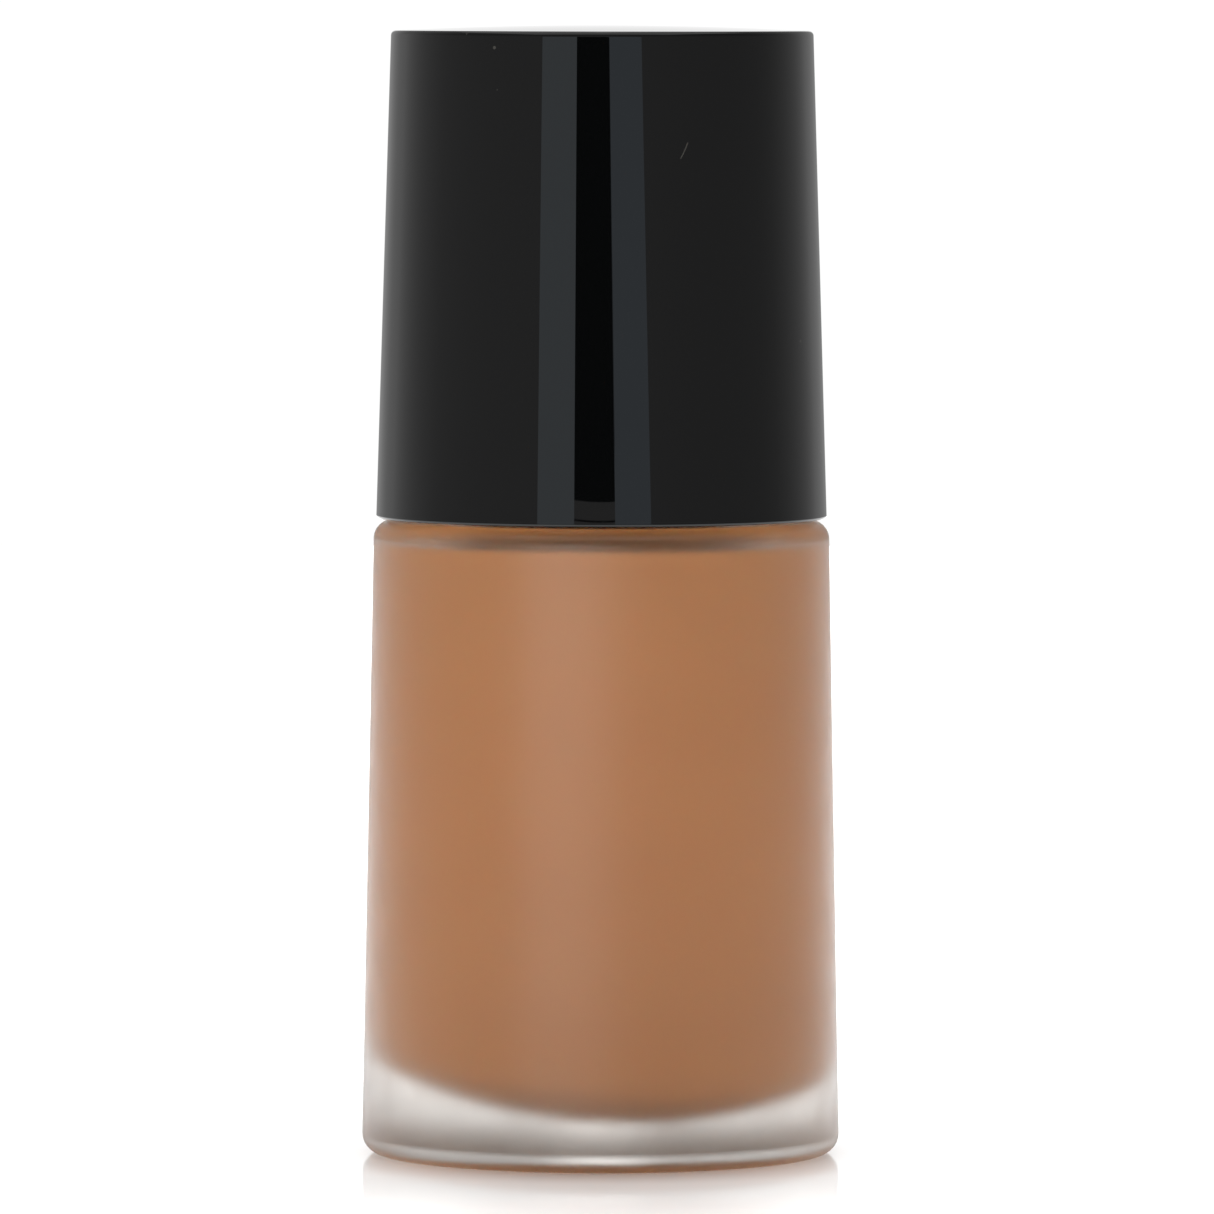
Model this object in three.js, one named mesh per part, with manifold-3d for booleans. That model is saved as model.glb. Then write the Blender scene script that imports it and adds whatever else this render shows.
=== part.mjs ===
// Round frosted-glass foundation bottle, 30 ml, with a screw-on treatment pump under a pull-off overcap.
// Millimetres, +Z up. The origin is the centre of the base, in the plane the bottle stands on.
// The spout points along -Y. Everything but the spout, the ports and the notches is turned about Z.
import * as THREE from "three";
import { mergeVertices } from "three/addons/utils/BufferGeometryUtils.js";
import Module from "manifold-3d";

const wasm = await Module();
wasm.setup();

// ---- Driving dimensions -------------------------------------------------------------------------

const OUTER_SEGMENTS = 48; // facets round the bottle and the overcap
const INNER_SEGMENTS = 32; // facets round the collar, the pump head and the housing
const SMALL_SEGMENTS = 20; // facets round the stem, the tube and other small pieces

const GAP = 0.1; // running clearance between pieces that slide or turn on each other
const SEAT = 0.3; // clearance where one piece comes to rest on another
const FILM = 0.2; // clearance round the liquid, and between the ring's top and the collar's roof
const OVERRUN = 1; // how far a cutting tool runs past the piece it cuts

const bottle = {
  baseRadius: 20.52, // widest, just above the heel
  topRadius: 19.5, // at the shoulder corner
  height: 54.4, // to the flat shoulder
  heel: 1.7,
  corner: 1.6,
  recessRadius: 15.2, // shallow recess inside the bearing ring
  recessDepth: 0.7,
  cavityRadius: 15.2,
  cavityFloor: 3.2, // height of the floor's centre
  cavityDish: 27, // radius of the shallow dish that the floor is
  cavityCorner: 6, // arc between the dish and the wall
  cavityCeiling: 53.0,
  cavityTopCorner: 1.0,
  neckFillet: 0.6, // where the neck meets the shoulder
  mouthFlare: 1.2, // where the bore opens into the cavity
  labelMargin: 1, // from the label's edge to the recess
  labelThickness: 0.15,
};

const neck = {
  radius: 7.9,
  bore: 5.6,
  top: 66.7,
  lip: 0.5, // rounding of the sealing lip
};

const thread = {
  pitch: 3.2,
  turns: 1.5,
  fade: 0.12, // of a turn, over which a ridge sinks into its wall at each end
  sides: 8, // of the ridge's section
  stepsPerTurn: 20,
  neckSection: 0.85, // radius of the rounded ridge on the neck
  neckCentre: 7.95, // radius at which that ridge's centre runs
  neckStart: 57.6, // height of its lower end
  ringSection: 0.8,
  ringCentre: 9.05,
  ringBelow: 1.4, // how far the ring's ridge lies under the neck's ridge
};

const cap = {
  bottom: 54.6,
  rim: 96.3, // height of the top edge
  crown: 0.45, // rise of the slightly domed top
  bottomRadius: 19.32,
  topRadius: 18.08,
  topEdge: 0.45, // rounding of the top edge
  bottomEdge: 0.2,
  mouthChamfer: 0.3,
  wall: 1.6,
  ceiling: 94.1,
};

const liner = {
  innerRadius: 12.75,
  wall: 0.9,
  bottom: 55.9,
  ceiling: 93.0,
  top: 93.8,
  flangeRadius: 17.4,
  flange: 1.0,
  snap: 0.05, // inward rise of the ring that clicks over the collar's bead
  snapRise: 1.6, // of that ring above the bead
  ribs: 6,
  ribThickness: 1.0,
  ribRoot: 0.4, // how deep a rib runs into the sleeve
  ribTopGap: 2, // from the ribs' tops to the liner's top
};

const housing = {
  flangeRadius: 8.8,
  flangeBottom: 67.8,
  flangeTop: 69.0,
  upperRadius: 5.2,
  upperBore: 4.2,
  step: 62.3, // where the upper bore narrows to the chamber
  barrelRadius: 4.6,
  chamber: 3.6,
  chamberFloor: 46.0,
  ledge: 3.1, // the ball retainer stands on this ledge
  inlet: 1.0, // hole under the ball
  inletTop: 42.7,
  socketTop: 42.3,
  socketBottom: 37.0,
  socketRadius: 2.6,
  taper: 0.8, // height of the tapers between diameters
  barrelFoot: 1.2, // height of the taper below the chamber's floor
};

const tube = { radius: 1.75, bore: 1.0, bottom: 5.0, slant: 30, slantRise: 0.9 };
const ball = { radius: 1.5, centre: 43.9, around: 16, upright: 10 }; // around, upright: facets
const gasket = { overhang: 0.3 }; // past the neck's outside
const retainer = { bore: 0.9, thickness: 0.8, notchLength: 4.6, notchWidth: 0.9 };
const stem = { radius: 1.7, bore: 0.95, bottom: 56.9, top: 81.6, port: 0.45, portHeight: 59.2 };
const plug = {
  flangeRadius: 2.9,
  bottom: 55.8,
  flangeTop: 56.5,
  spigotTop: 58.4,
  tail: 1.2, // length of the tail that centres the spring
  tailRadius: 1.6,
  tailRootRadius: 1.8,
  seatRadius: 2.1, // the piston seals outside this radius
  seatDrop: 0.2,
  fit: 0.05, // the spigot is this much smaller than the stem's bore
};
const spring = {
  wire: 0.25, // radius of the wire
  radius: 2.6, // to the wire's centre
  turns: 7,
  endTurns: 1, // closed turns at each end
  endPitch: 0.58,
  clearance: 0.02,
  sides: 6, // of the wire's section
  stepsPerTurn: 14,
};
const turret = {
  flangeRadius: 7.4,
  flangeBottom: 69.1,
  flangeTop: 70.2,
  skirtBottom: 63.0,
  skirtInner: 3.3,
  top: 72.2,
  draft: 0.2, // the collar round the stem is this much narrower at its top
};
const stemSeal = { thickness: 1.0, radius: 3.2, fit: 0.05 };

// Radii of the piston, and heights of its two lips and its sleeve above its lower end.
const piston = {
  seatBore: 2.2, // bore below, round the ports
  body: 2.75,
  bodyTop: 0.8,
  lipEdge: 0.2, // the lips' edges are drawn in by this
  lowLip: 0.3,
  waist: 3.1,
  waistBottom: 1.7,
  waistTop: 2.7,
  highLip: 4.1,
  sleeveRoot: 3.3,
  rootRadius: 2.7,
  sleeve: 2.4,
  sleeveTop: 4.7,
  boreBottom: 3.1,
};

const BEAD_HEIGHT = 58.6; // the collar's bead, which the overcap's liner clicks over

const ring = { inner: 9.1, outer: 10.6, bottom: 55.3, web: 69.1, top: 70.4, hole: 7.7, skin: 0.2 };
const collar = {
  inner: 10.75,
  outer: 12.4,
  bottom: 54.75,
  flangeRadius: 14.6,
  flange: 0.7,
  flangeRise: 0.15, // the foot's upper face rises by this towards the sleeve
  bead: 0.2,
  beadHalf: 0.4, // half of the bead's height
  top: 71.6,
  topChamfer: 0.9,
  stemHole: 4.0,
  guideInner: 8.5, // the pump head's skirt runs down inside this guide
  guideOuter: 9.7,
  guideTop: 76.8,
  guideChamfer: 0.3,
};

// At rest. The head, the stem and the plug travel 4 mm down.
const head = {
  radius: 7.6,
  skirtInner: 6.4,
  bottom: 76.0,
  top: 87.0,
  dish: 0.5, // depth of the finger dish
  plate: 1.2,
  edge: 0.8, // rounding of the button's upper edge
  disc: 1.0, // thickness of the disc under the plate, with its taper
  discTaper: 0.2,
  postRadius: 3.4,
  postBottom: 76.8,
  spoutHeight: 83.1,
  spoutRadius: 2.0,
  spoutReach: 10.8, // from the axis to the spout's mouth
  channel: 0.9,
  riserRise: 0.6, // the riser runs this far past the channel's axis
  socketRise: 0.2, // the socket runs this far past the stem's top
};

// ---- Shape helpers ------------------------------------------------------------------------------

const at = (radius, height) => new THREE.Vector2(radius, height);

// Points on an arc in the profile plane; angles in degrees, 0 pointing outwards and 90 up.
function arc(centreRadius, centreHeight, radius, from, to, steps) {
  const points = [];
  for (let i = 0; i <= steps; i++) {
    const angle = THREE.MathUtils.degToRad(from + ((to - from) * i) / steps);
    points.push(at(centreRadius + radius * Math.cos(angle), centreHeight + radius * Math.sin(angle)));
  }
  return points;
}

// Turns a profile about Z. The profile runs counter-clockwise: out at the bottom, up outside, down inside.
function turned(profile, segments) {
  return new THREE.LatheGeometry(profile, segments).rotateX(Math.PI / 2);
}

// A ring: the profile is closed on itself.
function turnedRing(profile, segments) {
  return turned([...profile, profile[0].clone()], segments);
}

function rod(radius, bottom, top, segments = SMALL_SEGMENTS) {
  return turned([at(0, bottom), at(radius, bottom), at(radius, top), at(0, top)], segments);
}

// A round bar along Y, from one Y to another, at a height.
function crossRod(radius, fromY, toY, height) {
  return new THREE.CylinderGeometry(radius, radius, Math.abs(toY - fromY), SMALL_SEGMENTS)
    .translate(0, (fromY + toY) / 2, height);
}

function toSolid(geometry) {
  const bare = geometry.clone();
  bare.deleteAttribute("normal");
  bare.deleteAttribute("uv");
  const merged = mergeVertices(bare, 1e-4);
  return new wasm.Manifold(
    new wasm.Mesh({
      numProp: 3,
      vertProperties: merged.attributes.position.array,
      triVerts: new Uint32Array(merged.index.array),
    }),
  );
}

function toGeometry(solid) {
  const mesh = solid.getMesh();
  const geometry = new THREE.BufferGeometry();
  geometry.setAttribute("position", new THREE.BufferAttribute(mesh.vertProperties, 3));
  geometry.setIndex(new THREE.BufferAttribute(mesh.triVerts, 1));
  geometry.computeVertexNormals();
  return geometry;
}

// Joins the first list of geometries and cuts the second list out of them.
function combine(joined, cut = []) {
  let solid = toSolid(joined[0]);
  for (const geometry of joined.slice(1)) solid = solid.add(toSolid(geometry));
  for (const geometry of cut) solid = solid.subtract(toSolid(geometry));
  return toGeometry(solid);
}

// A right-hand helix about Z. heightAt gives the height after so many turns, radiusAt the radius.
class Helix extends THREE.Curve {
  constructor(turns, radiusAt, heightAt) {
    super();
    this.turns = turns;
    this.radiusAt = radiusAt;
    this.heightAt = heightAt;
  }

  getPoint(t, target = new THREE.Vector3()) {
    const turn = t * this.turns;
    const angle = turn * 2 * Math.PI;
    const radius = this.radiusAt(turn);
    return target.set(radius * Math.cos(angle), radius * Math.sin(angle), this.heightAt(turn));
  }
}

// A round bar swept along a curve.
function swept(curve, radius, sides, steps) {
  const corners = [];
  for (let i = 0; i < sides; i++) {
    const angle = (i * 2 * Math.PI) / sides;
    corners.push(new THREE.Vector2(radius * Math.cos(angle), radius * Math.sin(angle)));
  }
  const section = new THREE.Shape(corners);
  return new THREE.ExtrudeGeometry(section, { steps, bevelEnabled: false, extrudePath: curve });
}

// A thread ridge that sinks into its own wall over the last stretch at each end.
function threadRidge(centreRadius, sectionRadius, startHeight, sink) {
  const radiusAt = (turn) => {
    const fromEnd = Math.min(turn, thread.turns - turn);
    return centreRadius + sink * Math.max(0, 1 - fromEnd / thread.fade);
  };
  const heightAt = (turn) => startHeight + thread.pitch * turn;
  const curve = new Helix(thread.turns, radiusAt, heightAt);
  return swept(curve, sectionRadius, thread.sides, Math.round(thread.turns * thread.stepsPerTurn));
}

// ---- Bottle -------------------------------------------------------------------------------------

const rise = bottle.height - bottle.corner - bottle.heel;
const wallLean = (bottle.baseRadius - bottle.topRadius) / rise;

// Outside radius of the glass wall at a height.
const wallRadius = (height) => bottle.baseRadius - wallLean * (height - bottle.heel);

// The cavity's outline from the floor's centre to the ceiling, drawn in by a margin. The corner's arc is
// tangent to the wall and to the dish, so both arcs share their centres' line at the tangent point.
function cavityOutline(margin) {
  const dishCentre = bottle.cavityFloor + bottle.cavityDish;
  const cornerRadius = bottle.cavityRadius - bottle.cavityCorner;
  const centreDrop = Math.sqrt((bottle.cavityDish - bottle.cavityCorner) ** 2 - cornerRadius ** 2);
  const tangent = -THREE.MathUtils.radToDeg(Math.atan2(centreDrop, cornerRadius));
  const high = bottle.cavityTopCorner;
  const highHeight = bottle.cavityCeiling - high;
  return [
    at(0, bottle.cavityFloor + margin),
    ...arc(0, dishCentre, bottle.cavityDish - margin, -90, tangent, 5).slice(1),
    ...arc(cornerRadius, dishCentre - centreDrop, bottle.cavityCorner - margin, tangent, 0, 4).slice(1),
    ...arc(bottle.cavityRadius - high, highHeight, high - margin, 0, 90, 2),
  ];
}

function glassBottle() {
  const heelCentre = bottle.baseRadius - bottle.heel;
  const cornerCentre = wallRadius(bottle.height - bottle.corner) - bottle.corner;
  const fillet = bottle.neckFillet;
  const flare = bottle.mouthFlare;
  const outside = [
    at(0, bottle.recessDepth),
    at(bottle.recessRadius, bottle.recessDepth),
    at(bottle.recessRadius + bottle.recessDepth, 0),
    ...arc(heelCentre, bottle.heel, bottle.heel, -90, 0, 4),
    ...arc(cornerCentre, bottle.height - bottle.corner, bottle.corner, 0, 90, 3),
    ...arc(neck.radius + fillet, bottle.height + fillet, fillet, 270, 180, 2),
    ...arc(neck.radius - neck.lip, neck.top - neck.lip, neck.lip, 0, 90, 2),
    ...arc(neck.bore + neck.lip, neck.top - neck.lip, neck.lip, 90, 180, 2),
  ];
  const inside = [
    ...arc(neck.bore + flare, bottle.cavityCeiling + flare, flare, 180, 270, 2),
    ...cavityOutline(0).reverse(),
  ];
  const ridge = threadRidge(thread.neckCentre, thread.neckSection, thread.neckStart, -thread.neckSection);
  return combine([turned([...outside, ...inside], OUTER_SEGMENTS), ridge]);
}

// The liquid fills the cavity to just under the ceiling, round the pump's barrel and the dip tube.
function foundationFill() {
  const outline = cavityOutline(FILM);
  const holeFloor = tube.bottom - GAP - SEAT;
  const surface = outline[outline.length - 1].y;
  const barrelBottom = housing.chamberFloor - housing.barrelFoot - SEAT;
  return turned(
    [
      ...outline,
      at(housing.barrelRadius + SEAT, surface),
      at(housing.barrelRadius + SEAT, barrelBottom),
      at(housing.socketRadius + SEAT, housing.inletTop - SEAT),
      at(housing.socketRadius + SEAT, housing.socketBottom - SEAT),
      at(tube.radius + SEAT, housing.socketBottom - SEAT),
      at(tube.radius + SEAT, holeFloor),
      at(0, holeFloor),
    ],
    INNER_SEGMENTS,
  );
}

function baseLabel() {
  const bottom = bottle.recessDepth - bottle.labelThickness;
  return rod(bottle.recessRadius - bottle.labelMargin, bottom, bottle.recessDepth, INNER_SEGMENTS);
}

// ---- Pump, fixed pieces -------------------------------------------------------------------------

function neckGasket() {
  const outer = neck.radius + gasket.overhang;
  return turnedRing(
    [
      at(housing.upperRadius + GAP, neck.top),
      at(outer, neck.top),
      at(outer, housing.flangeBottom),
      at(housing.upperRadius + GAP, housing.flangeBottom),
    ],
    INNER_SEGMENTS,
  );
}

function pumpHousing() {
  return turnedRing(
    [
      at(tube.radius + GAP, housing.socketBottom),
      at(housing.socketRadius, housing.socketBottom),
      at(housing.socketRadius, housing.inletTop),
      at(housing.barrelRadius, housing.chamberFloor - housing.barrelFoot),
      at(housing.barrelRadius, housing.step - housing.taper),
      at(housing.upperRadius, housing.step),
      at(housing.upperRadius, housing.flangeBottom),
      at(housing.flangeRadius, housing.flangeBottom),
      at(housing.flangeRadius, housing.flangeTop),
      at(housing.upperBore, housing.flangeTop),
      at(housing.upperBore, housing.step),
      at(housing.chamber, housing.step - housing.taper),
      at(housing.chamber, housing.chamberFloor),
      at(housing.ledge, housing.chamberFloor),
      at(housing.ledge, housing.inletTop + housing.ledge - housing.inlet),
      at(housing.inlet, housing.inletTop),
      at(housing.inlet, housing.socketTop),
      at(tube.radius + GAP, housing.socketTop),
    ],
    INNER_SEGMENTS,
  );
}

// Closes the top of the housing, guides the stem and stops the piston's travel.
function pumpTurret() {
  const bore = stem.radius + GAP;
  const skirtOuter = housing.upperBore - GAP;
  return turnedRing(
    [
      at(turret.skirtInner, turret.skirtBottom),
      at(skirtOuter, turret.skirtBottom),
      at(skirtOuter, turret.flangeBottom),
      at(turret.flangeRadius, turret.flangeBottom),
      at(turret.flangeRadius, turret.flangeTop),
      at(turret.skirtInner, turret.flangeTop),
      at(turret.skirtInner - turret.draft, turret.top),
      at(bore, turret.top),
      at(bore, turret.flangeBottom),
      at(turret.skirtInner, turret.flangeBottom),
    ],
    INNER_SEGMENTS,
  );
}

function stemGasket() {
  const top = turret.flangeBottom - GAP;
  const bottom = top - stemSeal.thickness;
  const bore = stem.radius + stemSeal.fit;
  return turnedRing(
    [at(bore, bottom), at(stemSeal.radius, bottom), at(stemSeal.radius, top), at(bore, top)],
    SMALL_SEGMENTS,
  );
}

// The end of the dip tube is cut at a slant so that it can't seal against the floor.
function dipTube() {
  const top = housing.socketTop - GAP;
  const pipe = turnedRing(
    [at(tube.bore, tube.bottom), at(tube.radius, tube.bottom), at(tube.radius, top), at(tube.bore, top)],
    SMALL_SEGMENTS,
  );
  const width = 4 * tube.radius + OVERRUN;
  const depth = 2 * tube.radius;
  const cutter = new THREE.BoxGeometry(width, width, depth)
    .translate(0, 0, -depth / 2)
    .rotateY(THREE.MathUtils.degToRad(tube.slant))
    .translate(0, 0, tube.bottom + tube.slantRise);
  return combine([pipe], [cutter]);
}

// Notched disc that keeps the ball in its seat and carries the spring.
function ballRetainer() {
  const bottom = housing.chamberFloor + GAP;
  const top = bottom + retainer.thickness;
  const edge = housing.chamber - GAP;
  const disc = turnedRing(
    [at(retainer.bore, bottom), at(edge, bottom), at(edge, top), at(retainer.bore, top)],
    INNER_SEGMENTS,
  );
  const depth = 2 * (retainer.thickness + OVERRUN);
  const notches = [0, 1].map((i) =>
    new THREE.BoxGeometry(retainer.notchLength, retainer.notchWidth, depth)
      .rotateZ((i * Math.PI) / 2)
      .translate(0, 0, bottom),
  );
  return combine([disc], notches);
}

function returnSpring() {
  const margin = spring.wire + spring.clearance;
  const low = housing.chamberFloor + GAP + retainer.thickness + margin;
  const high = plug.bottom - margin;
  const endRise = spring.endTurns * spring.endPitch;
  const openTurns = spring.turns - 2 * spring.endTurns;
  const openPitch = (high - low - 2 * endRise) / openTurns;
  const heightAt = (turn) => {
    if (turn < spring.endTurns) return low + turn * spring.endPitch;
    if (turn > spring.turns - spring.endTurns) return high - (spring.turns - turn) * spring.endPitch;
    return low + endRise + (turn - spring.endTurns) * openPitch;
  };
  const curve = new Helix(spring.turns, () => spring.radius, heightAt);
  return swept(curve, spring.wire, spring.sides, spring.turns * spring.stepsPerTurn);
}

function checkBall() {
  return new THREE.SphereGeometry(ball.radius, ball.around, ball.upright).translate(0, 0, ball.centre);
}

// ---- Pump, moving pieces ------------------------------------------------------------------------

// Lips wipe the chamber above and below; the waist between them carries no load.
function pistonSeal() {
  const lip = housing.chamber - GAP;
  const lipEdge = lip - piston.lipEdge;
  const bore = stem.radius + GAP;
  const profile = [
    [piston.seatBore, 0],
    [piston.body, 0],
    [piston.body, piston.bodyTop],
    [lipEdge, piston.lowLip - piston.lipEdge],
    [lip, piston.lowLip],
    [piston.waist, piston.waistBottom],
    [piston.waist, piston.waistTop],
    [lip, piston.highLip],
    [lipEdge, piston.highLip + piston.lipEdge],
    [piston.rootRadius, piston.sleeveRoot],
    [piston.sleeve, piston.sleeveRoot],
    [piston.sleeve, piston.sleeveTop],
    [bore, piston.sleeveTop],
    [bore, piston.boreBottom],
    [piston.seatBore, piston.waistTop],
  ];
  return turnedRing(profile.map(([radius, above]) => at(radius, stem.bottom + above)), INNER_SEGMENTS);
}

function pumpStem() {
  const pipe = turnedRing(
    [
      at(stem.bore, stem.bottom),
      at(stem.radius, stem.bottom),
      at(stem.radius, stem.top),
      at(stem.bore, stem.top),
    ],
    SMALL_SEGMENTS,
  );
  const reach = stem.radius + OVERRUN;
  const ports = crossRod(stem.port, -reach, reach, stem.portHeight);
  return combine([pipe], [ports]);
}

// Pressed into the stem's lower end: the piston seals on its flange and the spring pushes under it.
function stemPlug() {
  const spigot = stem.bore - plug.fit;
  const tailBottom = plug.bottom - plug.tail;
  return turned(
    [
      at(0, tailBottom),
      at(plug.tailRadius, tailBottom),
      at(plug.tailRootRadius, plug.bottom),
      at(plug.flangeRadius, plug.bottom),
      at(plug.flangeRadius, plug.flangeTop - plug.seatDrop),
      at(plug.seatRadius, plug.flangeTop),
      at(spigot, plug.flangeTop),
      at(spigot, plug.spigotTop),
      at(0, plug.spigotTop),
    ],
    SMALL_SEGMENTS,
  );
}

// Socket for the stem, the channel to the spout, and the disc that snaps under the button's plate.
function actuatorCore() {
  const discTop = head.top - head.plate - head.dish - GAP;
  const discRadius = head.skirtInner - GAP;
  const body = turned(
    [
      at(0, head.postBottom),
      at(head.postRadius, head.postBottom),
      at(head.postRadius, discTop - head.disc),
      at(discRadius, discTop - head.disc + head.discTaper),
      at(discRadius, discTop),
      at(0, discTop),
    ],
    INNER_SEGMENTS,
  );
  const spout = crossRod(head.spoutRadius, -head.spoutReach, 0, head.spoutHeight);
  const socket = rod(stem.radius + GAP, head.postBottom - OVERRUN, stem.top + head.socketRise);
  const riser = rod(head.channel, stem.top - OVERRUN, head.spoutHeight + head.riserRise);
  const channel = crossRod(head.channel, -head.spoutReach - OVERRUN, 0, head.spoutHeight);
  return combine([body, spout], [socket, riser, channel]);
}

// Finger button: a skirted shell with a dished top and a hole in the skirt for the spout.
function actuatorButton() {
  const underPlate = head.top - head.dish - head.plate;
  const dishRadius = head.radius - head.edge;
  const dish = [0.95, 0.75, 0.5, 0.25, 0].map((share) =>
    at(dishRadius * share, head.top - head.dish * (1 - share * share)),
  );
  const shell = turned(
    [
      at(0, underPlate),
      at(head.skirtInner, underPlate),
      at(head.skirtInner, head.bottom),
      at(head.radius, head.bottom),
      ...arc(dishRadius, head.top - head.edge, head.edge, 0, 90, 4),
      ...dish,
    ],
    INNER_SEGMENTS,
  );
  const holeStart = -head.radius - OVERRUN;
  const holeEnd = -head.skirtInner + OVERRUN;
  const hole = crossRod(head.spoutRadius + GAP, holeStart, holeEnd, head.spoutHeight);
  return combine([shell], [hole]);
}

// ---- Collar -------------------------------------------------------------------------------------

function screwRing() {
  const body = turnedRing(
    [
      at(ring.inner, ring.bottom),
      at(ring.outer, ring.bottom),
      at(ring.outer, ring.top),
      at(ring.hole, ring.top),
      at(ring.hole, ring.web),
      at(ring.inner, ring.web),
    ],
    INNER_SEGMENTS,
  );
  const ridge = threadRidge(
    thread.ringCentre,
    thread.ringSection,
    thread.neckStart - thread.ringBelow,
    thread.ringSection - GAP,
  );
  const trimmed = combine([ridge], [outsideBand(ring.outer - ring.skin)]);
  return combine([body, trimmed]);
}

// A band outside a radius, as tall as the ring and more, that trims a ridge back inside the ring's wall.
function outsideBand(radius) {
  const outer = radius + 2 * thread.ringSection + OVERRUN;
  const low = ring.bottom - thread.pitch;
  const high = ring.top + thread.pitch;
  return turnedRing([at(radius, low), at(outer, low), at(outer, high), at(radius, high)], INNER_SEGMENTS);
}

// Glossy sleeve over the threaded ring, with a foot, a bead for the overcap and a guide for the head.
function collarShell() {
  const roof = ring.top + FILM;
  return turnedRing(
    [
      at(collar.inner, collar.bottom),
      at(collar.flangeRadius, collar.bottom),
      at(collar.flangeRadius, collar.bottom + collar.flange),
      at(collar.outer, collar.bottom + collar.flange + collar.flangeRise),
      at(collar.outer, BEAD_HEIGHT - collar.beadHalf),
      at(collar.outer + collar.bead, BEAD_HEIGHT),
      at(collar.outer, BEAD_HEIGHT + collar.beadHalf),
      at(collar.outer, collar.top - collar.topChamfer),
      at(collar.outer - collar.topChamfer, collar.top),
      at(collar.guideOuter, collar.top),
      at(collar.guideOuter, collar.guideTop - collar.guideChamfer),
      at(collar.guideOuter - collar.guideChamfer, collar.guideTop),
      at(collar.guideInner, collar.guideTop),
      at(collar.guideInner, collar.top),
      at(collar.stemHole, collar.top),
      at(collar.stemHole, roof),
      at(collar.inner, roof),
    ],
    INNER_SEGMENTS,
  );
}

// ---- Overcap ------------------------------------------------------------------------------------

const capLean = (cap.bottomRadius - cap.topRadius) / (cap.rim - cap.bottom);

// Outside radius of the overcap at a height.
const capRadius = (height) => cap.bottomRadius - capLean * (height - cap.bottom);

function overcapShell() {
  const mouth = cap.bottomRadius - cap.wall;
  const crown = [0.97, 0.85, 0.6, 0.3, 0].map((share) =>
    at((cap.topRadius - cap.topEdge) * share, cap.rim + cap.crown * (1 - share * share)),
  );
  return turned(
    [
      at(0, cap.ceiling),
      at(capRadius(cap.ceiling) - cap.wall, cap.ceiling),
      at(mouth, cap.bottom + cap.mouthChamfer),
      at(mouth + cap.mouthChamfer, cap.bottom),
      ...arc(cap.bottomRadius - cap.bottomEdge, cap.bottom + cap.bottomEdge, cap.bottomEdge, -90, 0, 2),
      ...arc(cap.topRadius - cap.topEdge, cap.rim - cap.topEdge, cap.topEdge, 0, 90, 4),
      ...crown,
    ],
    OUTER_SEGMENTS,
  );
}

// Inner cup that grips the collar: a sleeve with a foot flange and ribs that centre it in the shell.
function overcapLiner() {
  const inner = liner.innerRadius;
  const outer = inner + liner.wall;
  const flangeTop = liner.bottom + liner.flange;
  const snapHeight = BEAD_HEIGHT + liner.snapRise;
  const cup = turned(
    [
      at(0, liner.ceiling),
      at(inner, liner.ceiling),
      at(inner, snapHeight + collar.beadHalf),
      at(inner - liner.snap, snapHeight),
      at(inner, snapHeight - collar.beadHalf),
      at(inner, liner.bottom),
      at(liner.flangeRadius, liner.bottom),
      at(liner.flangeRadius, flangeTop),
      at(outer, flangeTop),
      at(outer, liner.top),
      at(0, liner.top),
    ],
    INNER_SEGMENTS,
  );
  return combine([cup, ...linerRibs(outer - liner.ribRoot, flangeTop - GAP, liner.top - liner.ribTopGap)]);
}

// Upright ribs from the sleeve out to just short of the shell.
function linerRibs(root, low, high) {
  const reach = (height) => capRadius(height) - cap.wall - SEAT;
  const corners = [at(root, low), at(reach(low), low), at(reach(high), high), at(root, high)];
  const outline = new THREE.Shape(corners);
  const ribs = [];
  for (let i = 0; i < liner.ribs; i++) {
    ribs.push(
      new THREE.ExtrudeGeometry(outline, { depth: liner.ribThickness, bevelEnabled: false })
        .translate(0, 0, -liner.ribThickness / 2)
        .rotateX(Math.PI / 2)
        .rotateZ(((i + 0.5) * 2 * Math.PI) / liner.ribs),
    );
  }
  return ribs;
}

// ---- Materials ----------------------------------------------------------------------------------

const finish = (color, roughness, metalness = 0) =>
  new THREE.MeshStandardMaterial({ color, roughness, metalness });

const frostedGlass = finish(0xd8d4ce, 0.55);
const foundation = finish(0xaf7f5b, 0.5);
const labelStock = finish(0xe9e6e0, 0.6);
const glossBlack = finish(0x0a0b0b, 0.08);
const satinBlack = finish(0x131313, 0.4);
const naturalPlastic = finish(0xe6e4dd, 0.45);
const sealRubber = finish(0xc9c6bf, 0.8);
const steel = finish(0xb9bcc0, 0.3, 1);

// ---- Assembly -----------------------------------------------------------------------------------

const assembly = {
  bottle_body: [
    ["glass_bottle", glassBottle(), frostedGlass],
    ["foundation_fill", foundationFill(), foundation],
    ["base_label", baseLabel(), labelStock],
  ],
  pump_engine: [
    ["neck_gasket", neckGasket(), sealRubber],
    ["pump_housing", pumpHousing(), satinBlack],
    ["pump_turret", pumpTurret(), naturalPlastic],
    ["stem_gasket", stemGasket(), sealRubber],
    ["dip_tube", dipTube(), naturalPlastic],
    ["ball_retainer", ballRetainer(), naturalPlastic],
    ["return_spring", returnSpring(), steel],
  ],
  check_valve: [["check_ball", checkBall(), steel]],
  piston: [["piston_seal", pistonSeal(), naturalPlastic]],
  plunger: [
    ["pump_stem", pumpStem(), naturalPlastic],
    ["stem_plug", stemPlug(), naturalPlastic],
  ],
  pump_head: [
    ["actuator_core", actuatorCore(), satinBlack],
    ["actuator_button", actuatorButton(), glossBlack],
  ],
  collar: [
    ["screw_ring", screwRing(), satinBlack],
    ["collar_shell", collarShell(), glossBlack],
  ],
  overcap: [
    ["overcap_liner", overcapLiner(), satinBlack],
    ["overcap_shell", overcapShell(), glossBlack],
  ],
};

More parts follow.
